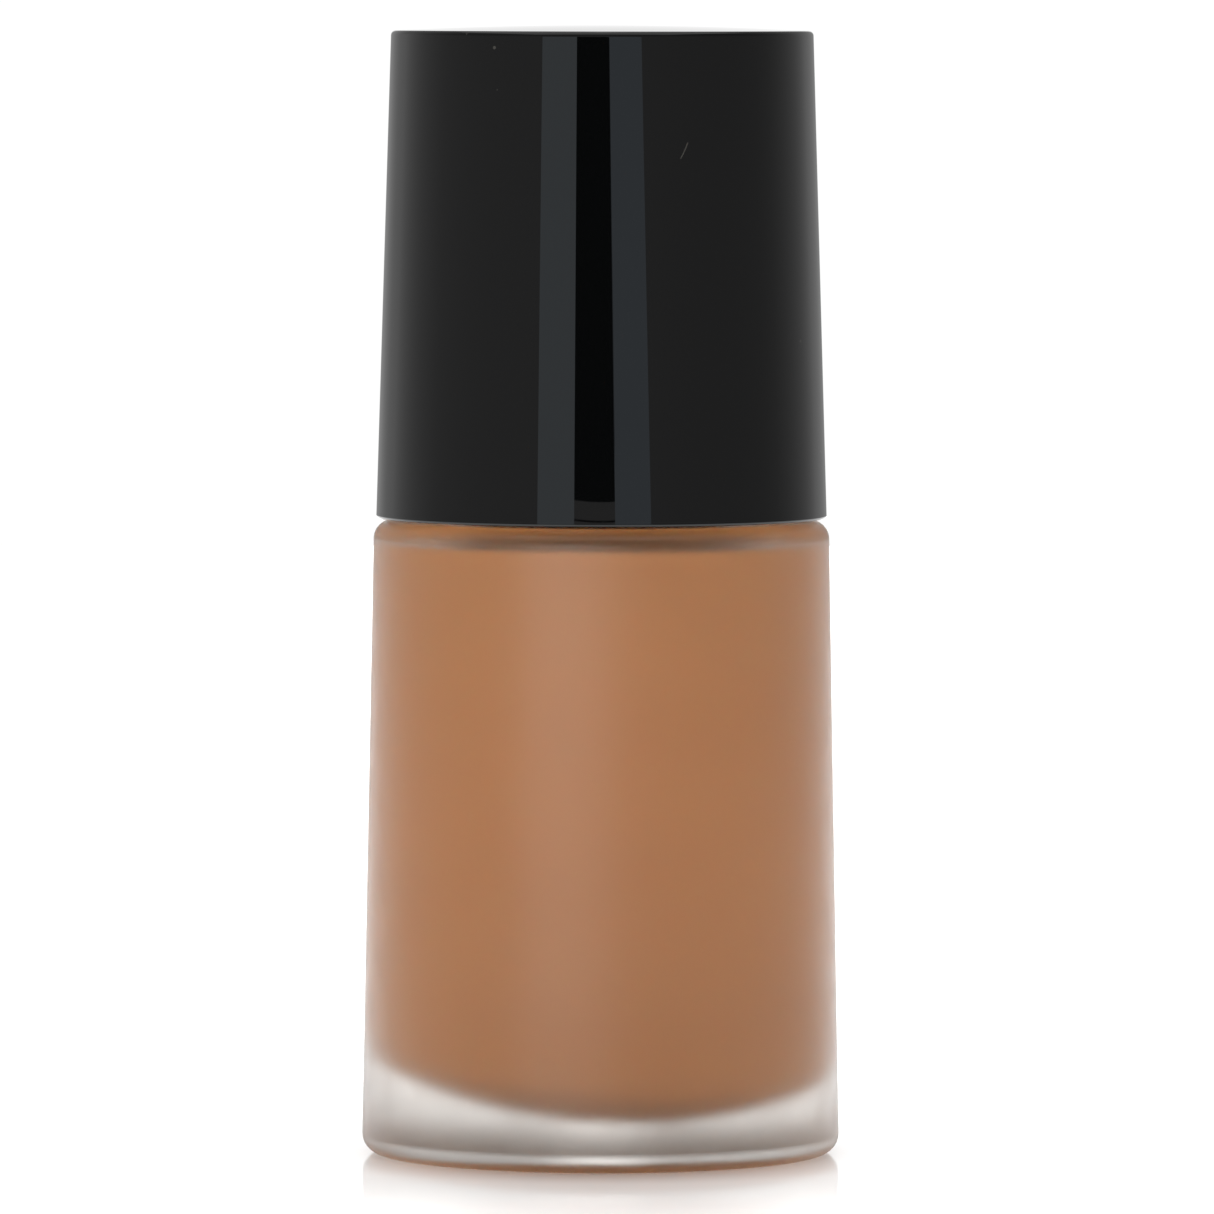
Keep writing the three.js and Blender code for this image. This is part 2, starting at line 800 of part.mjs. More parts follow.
const object = new THREE.Group();
for (const [name, pieces] of Object.entries(assembly)) {
  const group = new THREE.Group();
  group.name = name;
  for (const [pieceName, geometry, material] of pieces) {
    const mesh = new THREE.Mesh(geometry, material);
    mesh.name = pieceName;
    group.add(mesh);
  }
  object.add(group);
}

export default object;
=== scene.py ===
"""Frosted-glass foundation bottle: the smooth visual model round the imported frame, its materials and studio.

Outlines are in millimetres, as (radius, height, fillet) corners, and are turned about Z. Everything else in
Blender is in metres. The camera looks along +Y, and the pump's spout points along -Y.
"""
import math

import bmesh
import bpy
from mathutils import Matrix, Vector


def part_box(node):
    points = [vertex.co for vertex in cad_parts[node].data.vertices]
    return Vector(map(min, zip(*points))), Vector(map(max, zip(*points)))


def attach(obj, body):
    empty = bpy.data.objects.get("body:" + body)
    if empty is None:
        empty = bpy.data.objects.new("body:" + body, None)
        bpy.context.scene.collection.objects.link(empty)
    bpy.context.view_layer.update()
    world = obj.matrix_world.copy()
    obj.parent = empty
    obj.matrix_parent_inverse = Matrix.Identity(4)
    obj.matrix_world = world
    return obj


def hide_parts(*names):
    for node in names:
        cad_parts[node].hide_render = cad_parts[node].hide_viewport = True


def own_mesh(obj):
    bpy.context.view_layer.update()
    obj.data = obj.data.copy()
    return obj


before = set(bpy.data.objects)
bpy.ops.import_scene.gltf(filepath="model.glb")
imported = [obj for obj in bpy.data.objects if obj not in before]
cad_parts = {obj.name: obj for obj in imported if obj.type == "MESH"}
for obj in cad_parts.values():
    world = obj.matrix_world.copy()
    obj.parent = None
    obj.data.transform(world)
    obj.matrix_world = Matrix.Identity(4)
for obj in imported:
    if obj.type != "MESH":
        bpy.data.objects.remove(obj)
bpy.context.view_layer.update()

MM = 0.001
WIDEST = 256  # facets round the overcap
WIDE = 192  # facets round the bottle and the collar
MEDIUM = 128  # facets round the screw ring, the liner, the pump head and the housing
NARROW = 64  # facets round the small inner pieces
SUPPORT = 0.04  # mm from a fillet to the loop that keeps the flat beside it flat
LONG_STRETCH = 6  # times SUPPORT, the length from which a stretch gets these loops
FILLET_STEP = 15  # most degrees that one step of a fillet turns
FILLET_SHARE = 0.48  # most of a side that a fillet may take up
NEARLY_STRAIGHT = math.radians(176)  # a corner more open than this gets no fillet
TINY = 1e-6


def node_box(node):
    """A turned CAD node's outer radius, bottom and top, in millimetres."""
    low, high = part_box(node)
    return max(high[0], -low[0]) / MM, low[2] / MM, high[2] / MM


# ---- Outlines and turned meshes ---------------------------------------------------------------------


def fillet_arc(before, corner, after, radius):
    """Points of the arc that rounds a corner, or the corner itself where there's no room or no turn."""
    a = before - corner
    b = after - corner
    if radius <= 0 or a.length < TINY or b.length < TINY:
        return [corner]
    a_length, b_length = a.length, b.length
    a.normalize()
    b.normalize()
    opening = a.angle(b)
    if opening > NEARLY_STRAIGHT:
        return [corner]
    reach = min(radius / math.tan(opening / 2), a_length * FILLET_SHARE, b_length * FILLET_SHARE)
    radius = reach * math.tan(opening / 2)
    centre = corner + (a + b).normalized() * (radius / math.sin(opening / 2))
    start = corner + a * reach - centre
    end = corner + b * reach - centre
    turn = math.pi - opening
    steps = max(2, math.ceil(math.degrees(turn) / FILLET_STEP))
    sign = 1 if start.x * end.y - start.y * end.x > 0 else -1
    points = []
    for i in range(steps + 1):
        angle = sign * turn * i / steps
        c, s = math.cos(angle), math.sin(angle)
        points.append(centre + Vector((start.x * c - start.y * s, start.x * s + start.y * c)))
    return points


def smooth_outline(corners, closed):
    """Fillets every corner and puts a support point at each end of every long straight stretch."""
    places = [Vector((corner[0], corner[1])) for corner in corners]
    radii = [corner[2] if len(corner) > 2 else 0 for corner in corners]
    count = len(places)
    groups = []
    for i in range(count):
        if not closed and i in (0, count - 1):
            groups.append([places[i]])
            continue
        groups.append(fillet_arc(places[i - 1], places[i], places[(i + 1) % count], radii[i]))
    points = []
    for i, group in enumerate(groups):
        points.extend(group)
        if not closed and i == count - 1:
            break
        start = group[-1]
        end = groups[(i + 1) % count][0]
        if (end - start).length > LONG_STRETCH * SUPPORT:
            step = (end - start).normalized() * SUPPORT
            points.append(start + step)
            points.append(end - step)
    return points


def lathe_mesh(name, points, segments, closed, swell=None):
    """A mesh of an outline turned about Z. swell(turn, radius, height) adds to the radius."""
    mesh = bmesh.new()
    rings = []
    for point in points:
        if abs(point.x) < TINY:
            rings.append([mesh.verts.new((0, 0, point.y * MM))])
            continue
        ring = []
        for i in range(segments):
            angle = 2 * math.pi * i / segments
            radius = point.x
            if swell:
                radius += swell(i / segments, point.x, point.y)
            place = Vector((radius * math.cos(angle), radius * math.sin(angle), point.y))
            ring.append(mesh.verts.new(place * MM))
        rings.append(ring)
    pairs = list(zip(rings, rings[1:]))
    if closed:
        pairs.append((rings[-1], rings[0]))
    for low, high in pairs:
        if len(low) == 1 and len(high) == 1:
            continue
        for i in range(segments):
            j = (i + 1) % segments
            if len(low) == 1:
                mesh.faces.new((low[0], high[j], high[i]))
            elif len(high) == 1:
                mesh.faces.new((low[i], low[j], high[0]))
            else:
                mesh.faces.new((low[i], low[j], high[j], high[i]))
    data = bpy.data.meshes.new(name)
    mesh.to_mesh(data)
    mesh.free()
    return data


def add_object(name, data):
    piece = bpy.data.objects.new(name, data)
    bpy.context.scene.collection.objects.link(piece)
    return piece


def shade(piece, sharp_angle=35):
    for polygon in piece.data.polygons:
        polygon.use_smooth = True
    piece.data.set_sharp_from_angle(angle=math.radians(sharp_angle))


def turned(name, corners, segments, closed=True, swell=None):
    """A smooth turned piece. An outline that isn't closed starts and ends on the axis."""
    piece = add_object(name, lathe_mesh(name, smooth_outline(corners, closed), segments, closed, swell))
    shade(piece)
    return piece


def apply_modifiers(piece):
    graph = bpy.context.evaluated_depsgraph_get()
    data = bpy.data.meshes.new_from_object(piece.evaluated_get(graph))
    piece.modifiers.clear()
    piece.data = data
    return piece


def join_or_cut(piece, tool, operation):
    modifier = piece.modifiers.new(operation, "BOOLEAN")
    modifier.operation = operation
    modifier.solver = "EXACT"
    modifier.object = tool
    apply_modifiers(piece)
    bpy.data.objects.remove(tool)
    shade(piece)
    return piece


def swept(name, path, wire, sides):
    """A round bar of radius wire along a list of points, with round ends."""
    mesh = bmesh.new()
    rings = []
    count = len(path)
    for i, point in enumerate(path):
        ahead = path[min(i + 1, count - 1)]
        behind = path[max(i - 1, 0)]
        along = (ahead - behind).normalized()
        outward = Vector((point.x, point.y, 0)).normalized()
        across = along.cross(outward).normalized()
        outward = across.cross(along)
        ring = []
        for k in range(sides):
            angle = 2 * math.pi * k / sides
            offset = (outward * math.cos(angle) + across * math.sin(angle)) * wire
            ring.append(mesh.verts.new((point + offset) * MM))
        rings.append(ring)
    for low, high in zip(rings, rings[1:]):
        for k in range(sides):
            n = (k + 1) % sides
            mesh.faces.new((low[k], low[n], high[n], high[k]))
    mesh.faces.new(list(reversed(rings[0])))
    mesh.faces.new(rings[-1])
    bmesh.ops.recalc_face_normals(mesh, faces=mesh.faces)
    data = bpy.data.meshes.new(name)
    mesh.to_mesh(data)
    mesh.free()
    piece = add_object(name, data)
    shade(piece, 50)
    return piece


def place(piece, body, material, slot, *nodes):
    """Gives a piece its material and its body, and hides the CAD nodes that it stands for. slot is not used.
    """
    piece.data.materials.clear()
    for one in material if isinstance(material, (list, tuple)) else [material]:
        piece.data.materials.append(one)
    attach(piece, body)
    if nodes:
        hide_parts(*nodes)
    return piece


# ---- Materials --------------------------------------------------------------------------------------


class Nodes:
    """A new material with short calls for its nodes."""

    def __init__(self, name):
        self.material = bpy.data.materials.new(name)
        self.material.use_nodes = True
        self.tree = self.material.node_tree
        self.shader = self.tree.nodes["Principled BSDF"]
        self.place = self.add("ShaderNodeTexCoord").outputs["Object"]

    def add(self, kind, **settings):
        node = self.tree.nodes.new(kind)
        for key, value in settings.items():
            setattr(node, key, value)
        return node

    def link(self, source, target):
        self.tree.links.new(source, target)

    def set(self, **values):
        for name, value in values.items():
            self.shader.inputs[name.replace("_", " ")].default_value = value

    def noise(self, scale, detail=2.0, roughness=0.5, stretch=(1, 1, 1)):
        mapping = self.add("ShaderNodeMapping")
        mapping.inputs["Scale"].default_value = stretch
        self.link(self.place, mapping.inputs["Vector"])
        noise = self.add("ShaderNodeTexNoise")
        noise.inputs["Scale"].default_value = scale
        noise.inputs["Detail"].default_value = detail
        noise.inputs["Roughness"].default_value = roughness
        self.link(mapping.outputs["Vector"], noise.inputs["Vector"])
        return noise.outputs["Fac"]

    def math(self, operation, *values):
        """A Math node; each value is a socket or a number."""
        node = self.add("ShaderNodeMath", operation=operation)
        for socket, value in zip(node.inputs, values):
            if isinstance(value, (int, float)):
                socket.default_value = value
            else:
                self.link(value, socket)
        return node.outputs[0]

    def ramp(self, factor, low, high, from_value=0.0, to_value=1.0):
        span = self.add("ShaderNodeMapRange", interpolation_type="SMOOTHSTEP")
        self.link(factor, span.inputs["Value"])
        span.inputs["From Min"].default_value = low
        span.inputs["From Max"].default_value = high
        span.inputs["To Min"].default_value = from_value
        span.inputs["To Max"].default_value = to_value
        return span.outputs["Result"]

    def mix(self, factor, first, second):
        mix = self.add("ShaderNodeMix", data_type="RGBA")
        self.link(factor, mix.inputs["Factor"])
        mix.inputs["A"].default_value = (*first, 1)
        mix.inputs["B"].default_value = (*second, 1)
        return mix.outputs["Result"]

    def bump(self, height, strength, distance):
        bump = self.add("ShaderNodeBump")
        bump.inputs["Strength"].default_value = strength
        bump.inputs["Distance"].default_value = distance
        self.link(height, bump.inputs["Height"])
        self.link(bump.outputs["Normal"], self.shader.inputs["Normal"])
        return bump


def frosted_glass():
    """Acid-etched outer face: rough transmission with a fine even grain."""
    m = Nodes("frosted_glass")
    m.set(Base_Color=(0.93, 0.90, 0.86, 1), IOR=1.5, Transmission_Weight=1.0)
    grain = m.noise(9000, 3.0)
    m.link(m.ramp(m.noise(300, 3.0), 0.35, 0.65, 0.31, 0.35), m.shader.inputs["Roughness"])
    m.bump(grain, 0.12, 0.00002)
    return m.material


def polished_glass():
    """Fire-polished inner face, neck and thread, with the slight waviness of moulded glass."""
    m = Nodes("polished_glass")
    m.set(Base_Color=(0.97, 0.965, 0.955, 1), IOR=1.5, Transmission_Weight=1.0, Roughness=0.04)
    m.bump(m.noise(90, 2.0), 0.2, 0.0002)
    return m.material


def foundation_liquid():
    """Opaque warm beige emulsion with faint streaks of separation."""
    deep, pale = (0.66, 0.292, 0.101), (0.688, 0.309, 0.109)
    m = Nodes("foundation_liquid")
    m.set(IOR=1.38, Specular_IOR_Level=0.1, Roughness=0.35, Subsurface_Weight=0.4, Subsurface_Scale=0.0015)
    m.shader.inputs["Subsurface Radius"].default_value = (1.0, 0.5, 0.25)
    streaks = m.noise(45, 3.0, 0.55, stretch=(1, 1, 2.5))
    m.link(m.mix(m.ramp(streaks, 0.3, 0.7), deep, pale), m.shader.inputs["Base Color"])
    m.bump(m.noise(400, 2.0), 0.05, 0.0001)
    return m.material


def gloss_black():
    """Piano-black moulding: a mirror-like skin with dust specks and one short hair scratch."""
    m = Nodes("gloss_black")
    m.set(IOR=1.5)
    dust = m.add("ShaderNodeTexVoronoi", feature="F1")
    dust.inputs["Scale"].default_value = 283
    dust.inputs["Randomness"].default_value = 1.0
    m.link(m.place, dust.inputs["Vector"])
    speck = m.ramp(dust.outputs["Distance"], 0.03, 0.05, 1.0, 0.0)
    rare = m.ramp(m.noise(97, 1.0), 0.58, 0.6)
    marks = m.math("MAXIMUM", m.math("MULTIPLY", speck, rare), hair_scratch(m))
    m.link(m.mix(marks, (0.0011, 0.0011, 0.0012), (0.05, 0.047, 0.042)), m.shader.inputs["Base Color"])
    scuff = m.noise(700, 4.0, 0.6, stretch=(1, 1, 0.25))
    m.link(m.ramp(scuff, 0.45, 0.75, 0.006, 0.016), m.shader.inputs["Roughness"])
    m.bump(m.noise(60, 1.0), 0.015, 0.0001)
    return m.material


def hair_scratch(m):
    """A short bowed hair line high on the right of the overcap's front, as a factor from 0 to 1."""
    height, middle, half_length, half_width = 0.0863, 0.00695, 0.00075, 0.00003
    bow, lean = 60.0, 0.45
    parts = m.add("ShaderNodeSeparateXYZ")
    m.link(m.place, parts.inputs[0])
    rise = m.math("SUBTRACT", parts.outputs["Z"], height)
    bowed = m.math("MULTIPLY_ADD", m.math("MULTIPLY", rise, rise), -bow, middle)
    centre_line = m.math("MULTIPLY_ADD", rise, lean, bowed)
    across = m.math("ABSOLUTE", m.math("SUBTRACT", parts.outputs["X"], centre_line))
    on_line = m.ramp(across, half_width, 2 * half_width, 1.0, 0.0)
    along = m.ramp(m.math("ABSOLUTE", rise), half_length * 0.8, half_length, 1.0, 0.0)
    front = m.math("LESS_THAN", parts.outputs["Y"], 0.0)
    return m.math("MULTIPLY", m.math("MULTIPLY", on_line, along), front)


def moulded_plastic(name, dark, light, roughness, grain, strength):
    """Plain moulded plastic with slight mottling and a fine spark-eroded texture."""
    m = Nodes(name)
    m.set(IOR=1.49)
    m.link(m.mix(m.ramp(m.noise(180, 3.0), 0.35, 0.65), dark, light), m.shader.inputs["Base Color"])
    uneven = m.ramp(m.noise(500, 3.0), 0.35, 0.65, roughness - 0.04, roughness + 0.05)
    m.link(uneven, m.shader.inputs["Roughness"])
    m.bump(m.noise(grain, 3.0), strength, 0.00004)
    return m.material


def label_film():
    """A thin pale film that lets light through."""
    m = Nodes("label_film")
    m.set(Roughness=0.6, Transmission_Weight=0.7, IOR=1.2)
    fibres = m.noise(900, 4.0, 0.6, stretch=(1, 0.3, 1))
    m.link(m.mix(fibres, (0.70, 0.68, 0.64), (0.78, 0.76, 0.73)), m.shader.inputs["Base Color"])
    m.bump(m.noise(2500, 3.0), 0.15, 0.00003)
    return m.material


def spring_steel():
    """Drawn stainless wire with fine lengthwise draw marks."""
    m = Nodes("spring_steel")
    m.set(Metallic=1.0)
    marks = m.noise(2200, 3.0, 0.5, stretch=(1, 1, 6))
    m.link(m.mix(marks, (0.42, 0.43, 0.44), (0.58, 0.58, 0.59)), m.shader.inputs["Base Color"])
    m.link(m.ramp(marks, 0.3, 0.7, 0.18, 0.32), m.shader.inputs["Roughness"])
    return m.material


glass_outside = frosted_glass()
glass_inside = polished_glass()
liquid = foundation_liquid()
black = gloss_black()
satin = moulded_plastic("satin_black", (0.0045, 0.0045, 0.005), (0.007, 0.007, 0.0075), 0.38, 5200, 0.12)
natural = moulded_plastic("natural_plastic", (0.70, 0.69, 0.65), (0.78, 0.77, 0.73), 0.42, 4200, 0.1)
seal = moulded_plastic("seal_foam", (0.52, 0.50, 0.46), (0.60, 0.58, 0.54), 0.75, 2600, 0.4)
film = label_film()
steel = spring_steel()

# ---- Sizes of the pump that more than one piece uses ------------------------------------------------

BARREL = 4.6  # outer radius of the pump's chamber
SOCKET = 2.6  # outer radius of the dip tube's socket
FLANGE_FOOT = 69.1  # height at which the turret and the screw ring sit on the pump's flange
CHAMBER_WALL_TOP = 61.5
UPPER_WALL_FOOT = 62.3
INLET = 42.7  # height at which the socket begins to widen into the barrel
STEM_CLEAR = 1.8  # radius of the holes that the stem runs in

# ---- Bottle -----------------------------------------------------------------------------------------

base_radius, _, neck_top = node_box("glass_bottle")
GLASS_HEEL = 1.7
SHOULDER = 54.4  # height of the flat shoulder
SHOULDER_RADIUS = 19.5
SHOULDER_CORNER = 1.6
NECK = 7.9
NECK_PLAIN = 0.9  # height of the plain neck at each end of its threaded wall
BORE = 5.6
CAVITY = 15.2
CAVITY_FLOOR = 3.2  # height of the floor's centre
CAVITY_DISH = 27.0  # radius of the shallow dish that the floor is
CAVITY_LOW_CORNER = 6.0
CAVITY_CEILING = 53.0
CAVITY_HIGH_CORNER = 1.0
AIR_POCKET = 0.2  # between the liquid and the ceiling
BRIM = 52.3  # height to which the liquid wets the wall
FLOOR_SLOPE = 0.07  # the glass is thicker under the left of the cavity than under the right
SLOPE_FADE = (9.0, 24.0)  # heights between which the slope dies out up the wall
WALL_LOOPS = range(15, 49, 3)  # heights of the loops that let the wall follow the slope
RECESS = 15.2
RECESS_DEPTH = 0.7

THREAD_PITCH = 3.2
THREAD_TURNS = 1.5
NECK_THREAD_START = 57.6
RING_THREAD_START = 56.2
THREAD_FADE = 0.12  # of a turn
NECK_THREAD_RISE = 0.9  # above the neck's wall
NECK_THREAD_HALF = 0.85  # half of the ridge's height
RING_THREAD_RISE = 0.8
RING_THREAD_HALF = 0.8
SAME_WALL = 1e-4  # a place this near to a wall's radius is on that wall


def thread_height(turn, height, start, half_width):
    """Height, from 0 to 1, of a right-hand thread ridge at a place on its wall."""
    best = 0.0
    for whole in range(math.ceil(THREAD_TURNS)):
        along = turn + whole
        if along > THREAD_TURNS:
            continue
        away = abs(height - start - THREAD_PITCH * along) / half_width
        if away >= 1:
            continue
        fade = min(1.0, min(along, THREAD_TURNS - along) / THREAD_FADE)
        best = max(best, math.sqrt(1 - away * away) * math.sin(fade * math.pi / 2))
    return best


def threaded_wall(radius, low, high, step=0.1):
    """Corners of a straight wall, close enough together to carry a thread."""
    count = round(abs(high - low) / step)
    return [(radius, low + (high - low) * i / count) for i in range(1, count)]


def neck_swell(turn, radius, height):
    if abs(radius - NECK) > SAME_WALL:
        return 0
    return NECK_THREAD_RISE * thread_height(turn, height, NECK_THREAD_START, NECK_THREAD_HALF)


def cavity_floor(proud):
    """Points of the cavity's dish and corner from the wall in to the axis, moved into the glass by proud."""
    centre = CAVITY_FLOOR + CAVITY_DISH
    corner_radius = CAVITY - CAVITY_LOW_CORNER
    drop = math.sqrt((CAVITY_DISH - CAVITY_LOW_CORNER) ** 2 - corner_radius**2)
    tangent = math.atan2(drop, corner_radius)
    steps = 12
    points = []
    for i in range(steps + 1):
        angle = tangent * i / steps
        radius = CAVITY_LOW_CORNER + proud
        points.append((corner_radius + radius * math.cos(angle), centre - drop - radius * math.sin(angle)))
    for i in range(1, steps):
        angle = tangent + (math.pi / 2 - tangent) * i / steps
        radius = CAVITY_DISH + proud
        points.append((radius * math.cos(angle), centre - radius * math.sin(angle)))
    points.append((0, CAVITY_FLOOR - proud))
    return points


def slope_floor(piece, inner_radius):
    """Leans the floor of the cavity down to the right, less and less up the wall."""
    low, high = SLOPE_FADE
    for vertex in piece.data.vertices:
        x, y, z = vertex.co / MM
        if math.hypot(x, y) > CAVITY + 0.1 or z < CAVITY_FLOOR - 0.1 or z > high:
            continue
        if math.hypot(x, y) < inner_radius:
            continue
        share = min(1.0, (high - z) / (high - low))
        vertex.co.z -= FLOOR_SLOPE * x * share * share * (3 - 2 * share) * MM


def build_glass():
    low = SHOULDER + NECK_PLAIN
    high = neck_top - NECK_PLAIN
    corners = [
        (0, RECESS_DEPTH),
        (RECESS, RECESS_DEPTH, 0.25),
        (RECESS + RECESS_DEPTH, 0, 0.3),
        (base_radius - 0.02, 0, GLASS_HEEL),
        (SHOULDER_RADIUS, SHOULDER, SHOULDER_CORNER),
        (NECK, SHOULDER, 0.6),
        (NECK, low),
        *threaded_wall(NECK, low, high),
        (NECK, high),
        (NECK, neck_top, 0.5),
        (BORE, neck_top, 0.5),
        (BORE, CAVITY_CEILING, 1.2),
        (CAVITY, CAVITY_CEILING, CAVITY_HIGH_CORNER),
        *[(CAVITY, height) for height in reversed(WALL_LOOPS)],
        *cavity_floor(0),
    ]
    glass = turned("bottle_glass", corners, WIDE, closed=False, swell=neck_swell)
    place(glass, "bottle", [glass_outside, glass_inside], "frosted_glass", "glass_bottle")
    for polygon in glass.data.polygons:
        centre = polygon.center / MM
        radius = math.hypot(centre.x, centre.y)
        inner = radius < CAVITY + 0.05 and CAVITY_FLOOR - 0.05 < centre.z < CAVITY_CEILING + 0.05
        if inner or centre.z > SHOULDER + 0.7:
            polygon.material_index = 1
    slope_floor(glass, 0)
    return glass


def build_liquid():
    wet = 0.04  # the liquid reaches this far into the glass, so no film of air shows between them
    tube, clear = 1.75, 0.25
    hole_floor = node_box("dip_tube")[1] - 0.4
    surface = CAVITY_CEILING - AIR_POCKET
    bend = CAVITY_HIGH_CORNER + wet
    centre_radius, centre_height = CAVITY - CAVITY_HIGH_CORNER, CAVITY_CEILING - CAVITY_HIGH_CORNER
    brim = math.asin((BRIM - centre_height) / bend)
    wetted = [brim * i / 3 for i in range(4)]
    corners = [
        *reversed(cavity_floor(wet)),
        *[(CAVITY + wet, height) for height in WALL_LOOPS],
        *[(centre_radius + bend * math.cos(a), centre_height + bend * math.sin(a)) for a in wetted],
        (CAVITY - 0.6, surface, 0.2),
        (BARREL + clear, surface, 0.4),
        (BARREL + clear, 44.5),
        (SOCKET + clear, 42.4),
        (SOCKET + clear, 36.7),
        (tube + clear, 36.7),
        (tube + clear, hole_floor),
        (0, hole_floor),
    ]
    piece = turned("liquid_foundation", corners, WIDE, closed=False)
    slope_floor(piece, tube + clear + 0.1)
    return place(piece, "bottle", liquid, "foundation", "foundation_fill")


def build_label():
    radius, bottom, top = node_box("base_label")
    corners = [(0, bottom), (radius, bottom, 0.04), (radius, top, 0.02), (0, top)]
    piece = turned("label_base", corners, MEDIUM, closed=False)
    return place(piece, "bottle", film, "label", "base_label")


# ---- Pump -------------------------------------------------------------------------------------------


def build_gaskets():
    radius, bottom, top = node_box("neck_gasket")
    corners = [(5.3, bottom, 0.12), (radius, bottom, 0.12), (radius, top, 0.12), (5.3, top, 0.12)]
    piece = turned("gasket_neck", corners, MEDIUM)
    place(piece, "pump", seal, "seal", "neck_gasket")
    radius, bottom, top = node_box("stem_gasket")
    corners = [(1.75, bottom, 0.15), (radius, bottom, 0.15), (radius, top, 0.15), (1.75, top, 0.15)]
    piece = turned("gasket_stem", corners, NARROW)
    place(piece, "pump", seal, "seal", "stem_gasket")


def build_housing():
    radius, bottom, top = node_box("pump_housing")
    corners = [
        (1.85, bottom, 0.1),
        (SOCKET, bottom, 0.2),
        (SOCKET, INLET, 0.3),
        (BARREL, 44.8, 0.5),
        (BARREL, CHAMBER_WALL_TOP, 0.4),
        (5.2, UPPER_WALL_FOOT, 0.4),
        (5.2, 67.8, 0.2),
        (radius, 67.8, 0.2),
        (radius, top, 0.2),
        (4.2, top, 0.15),
        (4.2, UPPER_WALL_FOOT, 0.3),
        (3.6, CHAMBER_WALL_TOP, 0.3),
        (3.6, 46.0, 0.15),
        (3.1, 46.0, 0.1),
        (3.1, 44.8, 0.2),
        (1.0, INLET, 0.1),
        (1.0, 42.3, 0.08),
        (1.85, 42.3, 0.1),
    ]
    return place(turned("housing_pump", corners, MEDIUM), "pump", satin, "satin_black", "pump_housing")


def build_turret():
    radius, bottom, top = node_box("pump_turret")
    corners = [
        (3.3, bottom, 0.1),
        (4.1, bottom, 0.15),
        (4.1, FLANGE_FOOT, 0.1),
        (radius, FLANGE_FOOT, 0.2),
        (radius, 70.2, 0.3),
        (3.3, 70.2, 0.3),
        (3.1, top, 0.25),
        (STEM_CLEAR, top, 0.15),
        (STEM_CLEAR, FLANGE_FOOT, 0.1),
        (3.3, FLANGE_FOOT, 0.1),
    ]
    return place(turned("turret_pump", corners, NARROW), "pump", natural, "natural_plastic", "pump_turret")


def build_dip_tube():
    radius, bottom, top = node_box("dip_tube")
    corners = [(1.0, bottom - 0.2, 0.05), (radius, bottom - 0.2, 0.05), (radius, top, 0.1), (1.0, top, 0.1)]
    piece = turned("tube_dip", corners, NARROW)
    bpy.ops.mesh.primitive_cube_add(size=1)
    cutter = bpy.context.object
    slant, width, depth, rise = math.radians(30), 8, 4, 0.9
    cutter.scale = (width * MM, width * MM, depth * MM)
    cutter.rotation_euler = (0, slant, 0)
    drop = Vector((-math.sin(slant), 0, -math.cos(slant))) * depth / 2 * MM
    cutter.location = Vector((0, 0, (bottom + rise) * MM)) + drop
    join_or_cut(piece, cutter, "DIFFERENCE")
    return place(piece, "pump", natural, "natural_plastic", "dip_tube")


def build_ball_retainer():
    radius, bottom, top = node_box("ball_retainer")
    corners = [(0.9, bottom, 0.1), (radius, bottom, 0.1), (radius, top, 0.1), (0.9, top, 0.1)]
    piece = turned("retainer_ball", corners, NARROW)
    length, width, depth = 4.6, 0.9, 4
    for quarter in range(2):
        bpy.ops.mesh.primitive_cube_add(size=1)
        cutter = bpy.context.object
        cutter.scale = (length * MM, width * MM, depth * MM)
        cutter.rotation_euler = (0, 0, quarter * math.pi / 2)
        cutter.location = (0, 0, bottom * MM)
        join_or_cut(piece, cutter, "DIFFERENCE")
    return place(piece, "pump", natural, "natural_plastic", "ball_retainer")


def build_check_ball():
    radius, bottom, top = node_box("check_ball")
    bpy.ops.mesh.primitive_uv_sphere_add(segments=64, ring_count=32, radius=radius * MM)
    piece = bpy.context.object
    piece.name = "ball_check"
    piece.location = (0, 0, (bottom + top) / 2 * MM)
    shade(piece)
    return place(piece, "ball", steel, "spring_steel", "check_ball")


def build_spring():
    wire, coil, turns, end_pitch, clear = 0.25, 2.6, 7, 0.56, 0.02
    _, bottom, top = node_box("return_spring")
    low = bottom + wire + clear
    high = top - wire - clear
    open_pitch = (high - low - 2 * end_pitch) / (turns - 2)
    per_turn = 48
    path = []
    for i in range(turns * per_turn + 1):
        turn = i / per_turn
        if turn < 1:
            height = low + turn * end_pitch
        elif turn > turns - 1:
            height = high - (turns - turn) * end_pitch
        else:
            height = low + end_pitch + (turn - 1) * open_pitch
        angle = 2 * math.pi * turn
        path.append(Vector((coil * math.cos(angle), coil * math.sin(angle), height)))
    piece = swept("spring_return", path, wire, 14)
    place(piece, "pump", steel, "spring_steel", "return_spring")
    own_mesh(piece)
    return piece


def build_piston():
    radius, bottom, _ = node_box("piston_seal")
    corners = [
        (2.2, bottom, 0.08),
        (2.75, bottom, 0.1),
        (2.75, bottom + 0.8, 0.1),
        (radius - 0.2, bottom + 0.1, 0.05),
        (radius, bottom + 0.3, 0.08),
        (3.1, bottom + 1.7, 0.4),
        (3.1, bottom + 2.7, 0.4),
        (radius, bottom + 4.1, 0.08),
        (radius - 0.2, bottom + 4.3, 0.05),
        (2.7, bottom + 3.3, 0.08),
        (2.4, bottom + 3.3, 0.08),
        (2.4, bottom + 4.7, 0.08),
        (STEM_CLEAR, bottom + 4.7, 0.06),
        (STEM_CLEAR, bottom + 3.1, 0.1),
        (2.2, bottom + 2.7, 0.1),
    ]
    return place(turned("seal_piston", corners, NARROW), "piston", natural, "natural_plastic", "piston_seal")


